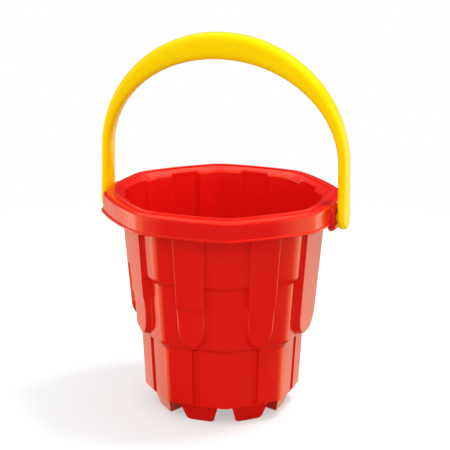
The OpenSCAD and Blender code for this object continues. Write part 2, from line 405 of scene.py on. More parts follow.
@dataclass
class WallSkin:
    """One side of the moulded wall: the outside, or the inside that follows it a wall in.

    Attributes:
        sizes: Sizes of the bucket.
        inset: 0 for the outside, and the wall's thickness for the inside.
        kind: Kind of side.
    """

    sizes: BucketSizes
    inset: float
    kind: SideKind
    soft_reach: float = 1.0
    corner_columns: int = 5
    tip_rows_down: int = 12

    def __post_init__(self) -> None:
        """Works out the heights and radii that the wall passes through."""
        s, inset = self.sizes, self.inset
        inside = inset > 0
        self.floor_z = s.foot_height + inset
        self.top_z = s.land_z - 0.3 if inside else s.under_z
        base = s.base_radius - inset
        self.marks = [self.floor_z, s.tower_top_z + inset, s.recess_z + inset,
                      s.recess_top_z + inset, s.panel_z + inset]
        self.radii = [base, s.tower_top_r - inset, s.recess_r - inset,
                      s.recess_top_r - inset, s.panel_r - inset]
        self.shelf_z = s.under_z - 1.0
        if inside:
            self.marks += [self.shelf_z, s.land_z - 0.2]
            self.radii += [s.panel_r_at(self.shelf_z) - inset, s.mouth_r]
        else:
            self.marks.append(s.land_z)
            self.radii.append(s.panel_r_at(s.land_z))
        self.plan = Plan(s.body_bow, s.straight)
        self.ledge_z = s.recess_z + inset + 0.9
        self.tip_z = s.recess_z + inset + s.tip_rise + 0.6
        self.round_z = self.tip_z + s.tongue_round
        self.step_z = s.recess_z + s.step_rise - inset

    def radius(self, z: np.ndarray) -> np.ndarray:
        """Radius of the wall below the tongues, at each height."""
        return soft(z, self.marks, self.radii, self.soft_reach)

    def bow(self, z: np.ndarray) -> np.ndarray:
        """Bow of the sides, which grows to the rim's on the inside of the mouth.

        Args:
            z: Heights.

        Returns:
            The bow at each height, as a share of the radius.
        """
        s = self.sizes
        if self.inset == 0:
            return np.full_like(np.asarray(z, float), s.body_bow)
        return np.interp(z, [self.shelf_z, s.land_z], [s.body_bow, s.rim_bow])

    def field(self, t: np.ndarray, z: np.ndarray) -> np.ndarray:
        """Outward distance of the wall below the tongues, at places along the side.

        Args:
            t: Places along the side, from its middle.
            z: Height of each place.

        Returns:
            The distance at each place.
        """
        r = self.radius(z)
        share = np.clip(t / (r * SIN_HALF), 0, self.plan.straight)
        return r * (COS_HALF + self.bow(z) * (1 - share**2))

    def tongue(self, t: np.ndarray, z: np.ndarray) -> np.ndarray:
        """Outward distance of the tongue's face, at places along the side.

        Args:
            t: Places along the side, from its middle.
            z: Height of each place.

        Returns:
            The distance at each place.
        """
        s = self.sizes
        step = s.step_depth if self.kind is SideKind.NARROW else 0.0
        half = s.step_softness / 2
        drop = soft(z, [self.step_z - half, self.step_z + half], [step, 0.0], 1.2)
        r = s.panel_r_at(z) + s.tongue_proud - self.inset - drop
        share = t / (r * SIN_HALF)
        return r * (COS_HALF + s.body_bow * (1 - share**2))

    def half_at(self, z: np.ndarray) -> np.ndarray:
        """Half width of the tongue where its sides are straight.

        Args:
            z: Heights.

        Returns:
            The half width at each height.
        """
        s = self.sizes
        half = s.narrow_half if self.kind is SideKind.NARROW else s.wide_half
        return half - self.inset + (z - s.panel_z) * s.slope / 3

    def tower_columns(self) -> np.ndarray:
        """Places of the tower's columns at its foot, from the corner's rounding to the middle.

        Returns:
            Places along the side, falling to 0 and close together at the groove.
        """
        s = self.sizes
        half = (s.base_radius - self.inset) * SIN_HALF * self.plan.straight
        edge = s.groove_half + self.inset
        groove = [edge + 1.2, edge + 0.7, edge + 0.45, edge + 0.2, edge - 0.05, edge - 0.3,
                  edge - 0.55, edge - 1.0, edge * 0.3, 0.0]
        return np.concatenate([np.linspace(half, groove[0], 6)[:-1], groove])

    def columns_at(self, z: float) -> np.ndarray:
        """Places of the tower's columns at a height: those by the groove keep their place.

        Args:
            z: Height.

        Returns:
            Places along the side, as many as at the foot.
        """
        s = self.sizes
        foot = self.tower_columns()
        keep = s.groove_half + self.inset + 1.2
        half = float(self.radius(z)) * SIN_HALF * self.plan.straight
        return np.where(foot > keep, keep + (foot - keep) * (half - keep) / (foot[0] - keep), foot)

    def outline(self) -> tuple[np.ndarray, np.ndarray]:
        """The tongue's lower and side edge, from the top down to its tip.

        Returns:
            Points as place along the side and height, and how many rows are straight.
        """
        marks = [m for m in self.marks[3:]] + [self.step_z]
        rows = packed(marks, self.soft_reach, self.round_z, self.top_z, 8.0)
        fine = packed([self.step_z], 0.35, self.step_z - 1.2, self.step_z + 1.2, 0.6)
        keep = [z for z in rows if abs(z - self.step_z) > 1.3]
        straight = np.array(sorted(set(np.round(np.concatenate([keep, fine]), 4)), reverse=True))
        count = self.tip_rows_down + len(self.tower_columns()) - 1
        turn = np.linspace(0, math.pi / 2, count + 1)[1:]
        power = 0.9 if self.kind is SideKind.NARROW else 0.72
        half = float(self.half_at(self.round_z))
        cosine = np.clip(np.cos(turn), 0, 1)
        tip = np.stack([half * cosine**power, self.round_z - (self.round_z - self.tip_z) * np.sin(turn)], 1)
        top = np.stack([self.half_at(straight), straight], 1)
        return np.concatenate([top, tip]), len(straight)

    def section(self, height: float, lower: float) -> np.ndarray:
        """Cross-section of the tongue's edge.

        Args:
            height: How far the tongue stands above the wall there.
            lower: 0 for the sharp upper tongue and 1 for the soft lower one.

        Returns:
            Points as distance outward from the edge of the face, and share of the height.
        """
        run = 0.45 + 0.9 * lower if self.inset == 0 else 2.4
        top, foot = 0.5 + 0.5 * lower, 0.45 + 0.45 * lower
        steps = np.linspace(0, 1, 4)
        face = np.array([-top, 1.0])
        crest = np.array([0.0, 1.0])
        base = np.array([run, 0.0])
        out = np.array([run + foot, 0.0])
        length = math.hypot(run, max(height, 0.3))
        along = (base - crest)
        in_top = crest + along * min(0.45, top / length)
        in_foot = base - along * min(0.45, foot / length)
        upper = [(1 - q) ** 2 * face + 2 * q * (1 - q) * crest + q * q * in_top for q in steps]
        under = [(1 - q) ** 2 * in_foot + 2 * q * (1 - q) * base + q * q * out for q in steps]
        first = [face + np.array([-0.12, 0.0])]
        last = [out + np.array([0.12, 0.0])]
        points = np.array(first + upper + under + last)
        points[:, 0] -= 0.45 + 0.15 * lower
        return points

    def relief(self) -> dict[str, np.ndarray]:
        """Makes the grids of half a side above the tower.

        Returns:
            Grids by name: face, edge, ground and corner, each of rows from the top down.
        """
        line, straight = self.outline()
        step = np.gradient(line, axis=0)
        step[:straight, :] = step[straight // 2]
        normal = np.stack([-step[:, 1], step[:, 0]], 1)
        normal /= np.linalg.norm(normal, axis=1)[:, None]
        normal[-1] = (0.0, -1.0)
        feet_t = self.columns_at(self.ledge_z)
        d_z = np.concatenate([line[:straight, 1],
                              np.linspace(self.round_z, self.ledge_z, self.tip_rows_down + 1)[1:]])
        rows: dict[str, list[np.ndarray]] = {"face": [], "edge": [], "ground": [], "corner": []}
        face_shares = np.array([0, 0.4, 0.8, 0.95, 1.0])
        ground_shares = np.array([0, 0.06, 0.2, 0.45, 0.72, 0.92, 1.0])
        for i, (t0, z0) in enumerate(line):
            lower = float(soft(z0, [self.step_z - 0.8, self.step_z + 0.8], [1.0, 0.0], 0.4))
            if self.kind is SideKind.WIDE:
                lower = float(np.interp(z0, [self.round_z - 6, self.step_z + 14], [0.8, 0.0]))
            rise = float(self.tongue(t0, z0) - self.field(t0, z0))
            cut = self.section(rise, lower)
            room = max(0.02, z0 - self.ledge_z - 0.05) / max(1e-3, -normal[i, 1])
            reach = np.minimum(cut[:, 0], room * 0.9)
            t = np.maximum(t0 + reach * normal[i, 0], 0.0)
            z = z0 + reach * normal[i, 1]
            if i < straight:
                z = np.full_like(t, z0)
            floor = self.field(t, z)
            top = np.maximum(self.tongue(t, z), floor)
            edge = np.stack([floor + (top - floor) * cut[:, 1], t, z], 1)
            ft, fz = t[0] * face_shares, np.full(len(face_shares), z[0])
            face = np.stack([np.maximum(self.tongue(ft, fz), self.field(ft, fz)), ft, fz], 1)
            if i < len(d_z):
                end_z = d_z[i]
                end_t = float(self.radius(end_z)) * SIN_HALF * self.plan.straight
            else:
                end_z = self.ledge_z
                end_t = feet_t[i - len(d_z) + 1]
            gt = t[-1] + (end_t - t[-1]) * ground_shares
            gz = z[-1] + (end_z - z[-1]) * ground_shares
            rows["face"].append(face)
            rows["edge"].append(edge)
            rows["ground"].append(np.stack([self.field(gt, gz), gt, gz], 1))
            if i < len(d_z):
                rows["corner"].append(self.corner(end_z))
        return {name: np.array(grid) for name, grid in rows.items()}

    def corner(self, z: float) -> np.ndarray:
        """One row of the corner's rounding at a height, from the flat side to the corner.

        Args:
            z: Height.

        Returns:
            Points of the row.
        """
        shares = np.linspace(self.plan.straight, 1, self.corner_columns + 1)
        r = float(self.radius(z))
        flat = Plan(float(self.bow(z)), self.plan.straight).points(shares) * r
        return np.column_stack([flat, np.full(len(shares), z)])

    def tower_row(self, z: float) -> np.ndarray:
        """One row of the tower at a height, from its corner to the middle of the side.

        Args:
            z: Height.

        Returns:
            Points of the row.
        """
        s = self.sizes
        t = self.columns_at(z)
        x = self.field(t, np.full_like(t, z))
        edge = s.groove_half + self.inset
        across = np.clip((edge + 0.35 - t) / 0.7, 0, 1)
        from_foot = np.clip((z - self.floor_z - 0.5) / 0.5, 0, 1)
        from_top = np.clip((s.tower_top_z + self.inset + 0.6 - z) / 0.9, 0, 1)
        x = x - s.groove_depth * from_foot * from_top * across**2 * (3 - 2 * across)
        side = np.stack([x, t, np.full_like(t, z)], 1)
        return np.concatenate([self.corner(z)[::-1][:-1], side])

    def tower(self) -> np.ndarray:
        """Grid of the tower's half side, from the ledge down to its foot and in to the axis.

        Returns:
            Array of rows, columns and three coordinates.
        """
        s = self.sizes
        rows = packed(self.marks[:3] + [s.tower_top_z + self.inset + 0.2], self.soft_reach,
                      self.floor_z + 0.25, self.ledge_z, 8.0)
        ends = packed([self.floor_z + 0.75], 0.3, self.floor_z + 0.25, self.floor_z + 1.6, 0.4)
        heights = sorted(set(np.round(np.concatenate([rows[rows > self.floor_z + 1.7], ends]), 4)))
        grid = [self.tower_row(z) for z in reversed(heights)]
        base = self.tower_row(self.floor_z)
        for share in (1 - 0.2 / s.base_radius, 1 - 0.8 / s.base_radius, 0.75, 0.4, 0.0):
            ring = base * np.array([share, share, 1.0])
            grid.append(ring)
        grid.insert(len(heights), base * np.array([1 - 0.05 / s.base_radius] * 2 + [1.0]))
        return np.array(grid)


@dataclass
class Bucket:
    """The red moulding: tower, tongues, rim, feet and ears as one closed wall."""

    sizes: BucketSizes
    finish: "PlasticFinish"

    def rim_rows(self, outside: np.ndarray, inside: np.ndarray) -> np.ndarray:
        """Rows of the rim from the top of the outside wall over to the inside wall.

        Args:
            outside: Top row of the outside, from the middle of a side to its corner.
            inside: Top row of the inside, with as many points.

        Returns:
            Grid whose first and last rows are those two.
        """
        s = self.sizes
        inner_skirt = s.skirt_r - s.wall
        path = rounded_path([
            (s.panel_r_at(s.under_z) + 4.5, s.under_z),
            (inner_skirt, s.under_z),
            (inner_skirt, s.lip_z),
            (s.lip_r, s.lip_z),
            (s.lip_r, s.lip_z + s.lip_height),
            (s.skirt_r, s.lip_z + s.lip_height),
            (s.skirt_r, s.land_z),
            (s.bead_r, s.land_z),
            (s.bead_r, s.rim_z),
            (s.mouth_r, s.rim_z),
            (s.mouth_r, s.land_z - 0.1),
        ], [0, 1.5, 0.3, 0.5, 0.5, 0.5, s.shoulder, 0.4, 0.45, 0.5, 0])
        half = (s.panel_r_at(s.under_z)) * SIN_HALF
        shares = np.minimum(outside[:, 1] / half, 1.0)
        corner = WallSkin.corner_columns + 1
        shares[-corner:] = np.linspace(s.straight, 1.0, corner)
        plan = Plan(s.rim_bow, s.straight)
        unit = plan.points(shares)
        rows = [outside]
        for r, z in path:
            rows.append(np.column_stack([unit * r, np.full(len(unit), z)]))
        rows.append(inside)
        return np.array(rows)

    def sector(self, kind: SideKind) -> bpy.types.Mesh:
        """Makes one eighth of the moulding, with its inside, its outside and its rim.

        Args:
            kind: Kind of side.

        Returns:
            The side's mesh, open where its neighbours join it.
        """
        s = self.sizes
        work = Patchwork()
        tops = []
        for inset, flip in ((0.0, True), (s.wall, False)):
            skin = WallSkin(s, inset, kind)
            parts = skin.relief()
            for grid in parts.values():
                work.add_mirrored(grid, flip)
            work.add_mirrored(skin.tower(), not flip)
            tops.append(np.concatenate([parts["face"][0], parts["edge"][0][1:],
                                        parts["ground"][0][1:], parts["corner"][0][1:]]))
        work.add_mirrored(self.rim_rows(tops[0], tops[1]), False)
        return work.mesh(f"sector_{kind.value}")

    def feet(self, inset: float) -> bpy.types.Mesh:
        """Makes the eight feet as closed blocks, or the hollows inside them.

        Args:
            inset: 0 for the blocks, and the wall's thickness for the hollows.

        Returns:
            All eight in one mesh.
        """
        s = self.sizes
        floor_z = s.foot_height + inset
        bottom = inset
        rounding = 2.3 if inset == 0 else 1.0
        levels = [(bottom + rounding * (1 - math.cos(a)), 1 - math.sin(a))
                  for a in np.linspace(0, math.pi / 2, 6)]
        levels += [(z, 0.0) for z in np.linspace(bottom + rounding, floor_z, 7)[1:]]
        levels.append((floor_z + 1.0, 0.0))
        rings = [self.foot_ring(z, inset, rounding * left) for z, left in levels]
        work = Patchwork()
        for k in range(SIDES):
            turn = np.array(Matrix.Rotation(2 * HALF_TURN * k, 3, "Z"))
            grid = [ring @ turn.T for ring in rings]
            low, high = grid[0].mean(axis=0), grid[-1].mean(axis=0)
            grid = [np.tile(low, (len(grid[0]), 1))] + grid + [np.tile(high, (len(grid[0]), 1))]
            work.add(np.array([np.vstack([row, row[:1]]) for row in grid]))
        return work.mesh("feet")

    def foot_ring(self, z: float, inset: float, shrink: float) -> np.ndarray:
        """Outline of one foot at a height.

        Args:
            z: Height of the outline.
            inset: How far the outline lies inside the foot's outside.
            shrink: How far its lower edge's rounding draws it in there.

        Returns:
            Points of the closed outline, the first one on the outer face.
        """
        s = self.sizes
        rise = min(z, s.foot_height + inset) / (s.foot_height + inset)
        low_r = s.base_radius - s.foot_inset - inset
        r = low_r + (s.foot_inset - s.foot_set_back) * rise - 0.35 * shrink
        gap = s.gap_foot_half + (s.gap_top_half - s.gap_foot_half) * rise + inset + shrink
        slant = math.tan(HALF_TURN)
        outer = r * (COS_HALF + s.body_bow)
        inner = (s.base_radius - s.foot_inset - s.foot_depth + inset) * COS_HALF + 0.35 * shrink
        half_outer = outer * slant - gap / COS_HALF
        outer = r * (COS_HALF + s.body_bow * (1 - (half_outer / (r * SIN_HALF)) ** 2))
        half_inner = max(0.6, inner * slant - gap / COS_HALF)
        corners = [(outer, half_outer), (inner, half_inner), (inner, -half_inner), (outer, -half_outer)]
        middle = [(r * (COS_HALF + s.body_bow * (1 - (t / (r * SIN_HALF)) ** 2)), t)
                  for t in np.linspace(-half_outer + 1.4, half_outer - 1.4, 9)]
        path = rounded_path([middle[-1]] + corners + [middle[0]], [0, 0.8, 0.5, 0.5, 0.8, 0])
        return np.column_stack([np.vstack([path, middle[1:-1]]), np.full(len(path) + 7, z)])

    def ears(self) -> bpy.types.Mesh:
        """Makes the two round bosses that carry the handle, with sloped and rounded edges.

        Returns:
            Both ears in one mesh.
        """
        s = self.sizes
        inside = (s.skirt_r - s.wall) * (COS_HALF + s.rim_bow) + 0.05
        skirt = s.skirt_r * (COS_HALF + s.rim_bow)
        path = rounded_path([(inside, 0.0), (inside, s.ear_radius), (skirt - 0.4, s.ear_radius),
                             (s.ear_x, s.ear_radius - s.ear_draft), (s.ear_x, 0.0)], [0, 0.3, 1.2, 1.3, 0])
        return revolved_pair([tuple(p) for p in path], s.hinge_z, "ears")

    def holes(self) -> bpy.types.Mesh:
        """Makes the two bars that cut the pegs' holes.

        Returns:
            Both bars in one mesh.
        """
        s = self.sizes
        inside = (s.skirt_r - s.wall) * (COS_HALF + s.rim_bow) - 0.9
        path = [(inside, 0.0), (inside, s.hole_radius), (s.ear_x - 0.35, s.hole_radius),
                (s.ear_x + 0.2, s.hole_radius + 0.4), (s.ear_x + 1.0, s.hole_radius + 0.4), (s.ear_x + 1.0, 0.0)]
        return revolved_pair(path, s.hinge_z, "holes")

    def build(self) -> bpy.types.Object:
        """Builds the moulding from its eight sides, feet, ears and holes.

        Returns:
            The finished piece.
        """
        sectors = {kind: hidden_object(self.sector(kind)) for kind in SideKind}
        base = hidden_object(bpy.data.meshes.new("bucket_sides"))
        modifier = base.modifiers.new("repeat", "NODES")
        modifier.node_group = repeat_tree()
        set_inputs(modifier, {"Narrow Side": sectors[SideKind.NARROW], "Wide Side": sectors[SideKind.WIDE],
                              "Sides": SIDES, "Weld": WELD * MM * 2, "Material": self.finish.material()})
        shell = converted(base, "bucket_shell")
        for operation, mesh in (("UNION", self.feet(0.0)), ("DIFFERENCE", self.feet(self.sizes.wall)),
                                ("UNION", self.ears()), ("DIFFERENCE", self.holes())):
            shell = cut(shell, mesh, operation)
        for thing in sectors.values():
            bpy.data.objects.remove(thing)
        finish_mesh(shell, self.finish)
        return shell


# ---------------------------------------------------------------- handle


@dataclass(frozen=True)
class HandleSizes:
    """Sizes of the handle in millimetres.

    Attributes:
        hinge_z: Height of the hinge, from the frame.
        top_z: Height of the handle's top, from the frame.
        out_x: Distance from the axis to a leg's outside at the hinge, from the frame.
        skirt_x: Distance from the axis to the inside of the rim's skirt.
    """

    hinge_z: float
    top_z: float
    out_x: float
    skirt_x: float
    leg_thick: float = 7.2
    leg_lean: float = 0.5
    leg_height: float = 37.5
    grip_thick: float = 19.6
    half_width: float = 7.2
    end_radius: float = 8.5
    peg_radius: float = 3.8
    head_radius: float = 4.9
    head_length: float = 2.4
    head_play: float = 0.5
    squareness: float = 2.8


@dataclass
class Handle:
    """The yellow moulding: a bail with a deep grip, two legs and two pegs."""

    sizes: HandleSizes
    finish: "PlasticFinish"
    arch_rows: int = 120
    leg_rows: int = 12
    end_rows: int = 14
    around: int = 56

    def half_spine(self) -> list[tuple[Vector, Vector, float]]:
        """Sections from the lower end of the right leg to the top.

        Returns:
            The outer point, the inner point and the half width of each section.
        """
        s = self.sizes
        rows = []
        in_x = s.out_x - s.leg_thick
        for a in np.linspace(math.pi / 2, 0, self.end_rows + 1)[:-1]:
            drop = s.end_radius * math.sin(a)
            left = s.end_radius - drop
            round_in = 3.0
            squeeze = round_in - math.sqrt(max(0.0, round_in**2 - max(0.0, round_in - left) ** 2))
            z = s.hinge_z - drop
            rows.append((Vector((s.out_x - squeeze, 0, z)), Vector((in_x + squeeze, 0, z)),
                         s.end_radius * math.cos(a)))
        arch_z = s.hinge_z + s.leg_height
        for share in np.linspace(0, 1, self.leg_rows + 1)[:-1]:
            narrow = min(1.0, share * 1.8)
            ease = narrow * narrow * (3 - 2 * narrow)
            z = s.hinge_z + s.leg_height * share
            rows.append((Vector((s.out_x - s.leg_lean * share, 0, z)), Vector((in_x - s.leg_lean * share, 0, z)),
                         s.end_radius + (s.half_width - s.end_radius) * ease))
        rise = s.top_z - arch_z
        for a in np.linspace(0, math.pi / 2, self.arch_rows // 2 + 1):
            outer = Vector(((s.out_x - s.leg_lean) * math.cos(a), 0, arch_z + rise * math.sin(a)))
            inner = Vector(((in_x - s.leg_lean) * math.cos(a), 0, arch_z + (rise - s.grip_thick) * math.sin(a)))
            rows.append((outer, inner, s.half_width))
        return rows

    def spine(self) -> bpy.types.Object:
        """Makes the line that the bail follows, with each section's size stored on it.

        Returns:
            A working object whose points hold the attributes across and half_width.
        """
        right = self.half_spine()
        flip = Matrix.Diagonal((-1, 1, 1))
        rows = right + [(flip @ outer, flip @ inner, width) for outer, inner, width in right[-2::-1]]
        mesh = bpy.data.meshes.new("bail_spine")
        mesh.from_pydata([tuple((o + i) * 0.5 * MM) for o, i, _ in rows],
                         [(k, k + 1) for k in range(len(rows) - 1)], [])
        across = mesh.attributes.new("across", "FLOAT_VECTOR", "POINT")
        across.data.foreach_set("vector", np.array([(o - i) * 0.5 * MM for o, i, _ in rows], float).ravel())
        width = mesh.attributes.new("half_width", "FLOAT", "POINT")
        width.data.foreach_set("value", np.array([w * MM for _, _, w in rows]))
        return hidden_object(mesh)

    def build(self) -> bpy.types.Object:
        """Builds the bail along its spine and adds the pegs.

        Returns:
            The finished piece.
        """
        s = self.sizes
        spine = self.spine()
        base = hidden_object(bpy.data.meshes.new("bail"))
        modifier = base.modifiers.new("sweep", "NODES")
        modifier.node_group = sweep_tree()
        set_inputs(modifier, {"Spine": spine, "Sections": len(spine.data.vertices), "Around": self.around + 1,
                              "Squareness": s.squareness, "Weld": 0.002 * MM,
                              "Material": self.finish.material()})
        bail = converted(base, "bail_handle")
        bpy.data.objects.remove(spine)
        point_outwards(bail.data)
        head = s.skirt_x - s.head_play
        leg_x = s.out_x - s.leg_thick
        path = rounded_path([(head - s.head_length, 0.0), (head - s.head_length, s.head_radius),
                             (head, s.head_radius), (head, s.peg_radius), (leg_x - 0.1, s.peg_radius),
                             (leg_x + 0.3, s.peg_radius + 0.5), (leg_x + 2.0, s.peg_radius + 0.5),
                             (leg_x + 2.0, 0.0)], [0, 0.9, 0.3, 0.2, 0.3, 0, 0, 0])
        bail = cut(bail, revolved_pair([tuple(p) for p in path], s.hinge_z, "pegs"), "UNION")
        finish_mesh(bail, self.finish)
        return bail


# ---------------------------------------------------------------- object helpers


def hidden_object(mesh: bpy.types.Mesh) -> bpy.types.Object:
    """Returns a working object for a mesh, linked to the scene.

    Args:
        mesh: The object's mesh.

    Returns:
        The object, named like its mesh.
    """
    made = bpy.data.objects.new(mesh.name, mesh)
    bpy.context.scene.collection.objects.link(made)
    return made


def converted(source: bpy.types.Object, name: str) -> bpy.types.Object:
    """Turns an object with its modifiers into a plain mesh object.

    Args:
        source: Object with modifiers, which is removed.
        name: Name of the new object.

    Returns:
        The plain object.
    """
    graph = bpy.context.evaluated_depsgraph_get()
    mesh = bpy.data.meshes.new_from_object(source.evaluated_get(graph), depsgraph=graph)
    mesh.name = name
    bpy.data.objects.remove(source)
    made = hidden_object(mesh)
    made.name = name
    return made


def cut(target: bpy.types.Object, tool_mesh: bpy.types.Mesh, operation: str) -> bpy.types.Object:
    """Joins a closed mesh to an object, or takes it away.

    Args:
        target: Object to change, which is replaced.
        tool_mesh: Closed mesh.
        operation: UNION or DIFFERENCE.

    Returns:
        The new object.
    """
    name = target.name
    point_outwards(tool_mesh)
    tool = hidden_object(tool_mesh)
    modifier = target.modifiers.new("cut", "BOOLEAN")
    modifier.operation = operation
    modifier.solver = "MANIFOLD"
    modifier.object = tool
    target.name = name + "_before"
    made = converted(target, name)
    bpy.data.objects.remove(tool)
    return made


def point_outwards(mesh: bpy.types.Mesh) -> None:
    """Turns a closed mesh's faces outwards.

    Args:
        mesh: Mesh to change.
    """
    work = bmesh.new()
    work.from_mesh(mesh)
    bmesh.ops.recalc_face_normals(work, faces=work.faces)
    work.to_mesh(mesh)
    work.free()


def revolved_pair(path: list[tuple[float, float]], z: float, name: str) -> bpy.types.Mesh:
    """Turns a profile round the hinge on both sides of the bucket.

    Args:
        path: Points of distance along the hinge and radius, in millimetres, that start and end on the hinge.
        z: Height of the hinge.
        name: Name of the mesh.

    Returns:
        Mesh with one closed shape on each side.
    """
    angles = np.linspace(0, 2 * math.pi, ROUND_POINTS)
    right = np.array([[(x, r * math.cos(a), z + r * math.sin(a)) for a in angles] for x, r in path])
    work = Patchwork()
    work.add(right)
    work.add(right * np.array([-1.0, 1.0, 1.0]), True)
    return work.mesh(name)


def finish_mesh(thing: bpy.types.Object, finish: "PlasticFinish") -> None:
    """Gives a finished piece its smooth shading and its material.

    Args:
        thing: Piece to finish.
        finish: Its plastic.
    """
    thing.data.shade_smooth()
    thing.data.set_sharp_from_angle(angle=math.radians(SHARP_ANGLE))
    thing.data.materials.clear()
    thing.data.materials.append(finish.material())


# ---------------------------------------------------------------- node trees


def new_tree(name: str, inputs: list[tuple[str, str]], outputs: list[tuple[str, str]],
             kind: str) -> bpy.types.NodeTree:
    """Makes a node group with named sockets.

    Args:
        name: Name of the group.
        inputs: Name and type of each input.
        outputs: Name and type of each output.
        kind: GeometryNodeTree or ShaderNodeTree.

    Returns:
        The group, with no nodes in it.
    """
    tree = bpy.data.node_groups.new(name, kind)
    for label, socket in inputs:
        tree.interface.new_socket(label, in_out="INPUT", socket_type=socket)
    for label, socket in outputs:
        tree.interface.new_socket(label, in_out="OUTPUT", socket_type=socket)
    return tree


class Wiring:
    """Short way to add and link nodes in one tree."""

    def __init__(self, tree: bpy.types.NodeTree) -> None:
        """Keeps the tree that the nodes go into."""
        self.tree = tree

    def add(self, kind: str, inputs: dict | None = None, **settings: object) -> bpy.types.Node:
        """Adds a node, sets it up and links or fills its inputs.

        Args:
            kind: Type of node.
            inputs: Value or output socket for each input, by name or number.
            settings: Properties of the node.

        Returns:
            The node.
        """
        node = self.tree.nodes.new(kind)
        for key, value in settings.items():
            setattr(node, key, value)
        for key, value in (inputs or {}).items():
            if isinstance(value, bpy.types.NodeSocket):
                self.tree.links.new(value, node.inputs[key])
            else:
                node.inputs[key].default_value = value
        return node

    def math(self, operation: str, *values: object) -> bpy.types.NodeSocket:
        """Adds a maths node and returns its result."""
        node = self.add("ShaderNodeMath", dict(enumerate(values)), operation=operation)
        return node.outputs[0]


def set_inputs(modifier: bpy.types.Modifier, values: dict[str, object]) -> None:
    """Sets a Geometry Nodes modifier's inputs by their sockets' identifiers.

    Args:
        modifier: Modifier whose tree is already set.
        values: Value of each input, by its name in the tree.
    """
    for item in modifier.node_group.interface.items_tree:
        if item.item_type == "SOCKET" and item.in_out == "INPUT" and item.name in values:
            modifier[item.identifier] = values[item.name]


def repeat_tree() -> bpy.types.NodeTree:
    """Geometry Nodes tree that sets the sides round the axis, wide ones at the two ears, and sews them.

    Returns:
        The tree.
    """
    tree = new_tree("RepeatSides", [("Narrow Side", "NodeSocketObject"), ("Wide Side", "NodeSocketObject"),
                                    ("Sides", "NodeSocketInt"), ("Weld", "NodeSocketFloat"),
                                    ("Material", "NodeSocketMaterial")],
                    [("Geometry", "NodeSocketGeometry")], "GeometryNodeTree")
    w = Wiring(tree)
    given = w.add("NodeGroupInput")
    points = w.add("GeometryNodePoints", {"Count": given.outputs["Sides"]})
    index = w.add("GeometryNodeInputIndex").outputs[0]
    turn = w.math("MULTIPLY", index, w.math("DIVIDE", 2 * math.pi, given.outputs["Sides"]))
    rotation = w.add("ShaderNodeCombineXYZ", {"Z": turn}).outputs[0]
    half = w.math("DIVIDE", given.outputs["Sides"], 2.0)
    is_wide = w.math("LESS_THAN", w.math("MODULO", index, half), 0.5)
    is_narrow = w.math("SUBTRACT", 1.0, is_wide)
    join = w.add("GeometryNodeJoinGeometry")
    for label, chosen in (("Narrow Side", is_narrow), ("Wide Side", is_wide)):
        info = w.add("GeometryNodeObjectInfo", {"Object": given.outputs[label]})
        copies = w.add("GeometryNodeInstanceOnPoints", {
            "Points": points.outputs[0], "Selection": chosen,
            "Instance": info.outputs["Geometry"], "Rotation": rotation})
        tree.links.new(copies.outputs[0], join.inputs[0])
    real = w.add("GeometryNodeRealizeInstances", {"Geometry": join.outputs[0]})
    sewn = w.add("GeometryNodeMergeByDistance", {"Geometry": real.outputs[0], "Distance": given.outputs["Weld"]})
    dressed = w.add("GeometryNodeSetMaterial", {"Geometry": sewn.outputs[0], "Material": given.outputs["Material"]})
    w.add("NodeGroupOutput", {"Geometry": dressed.outputs[0]})
    return tree


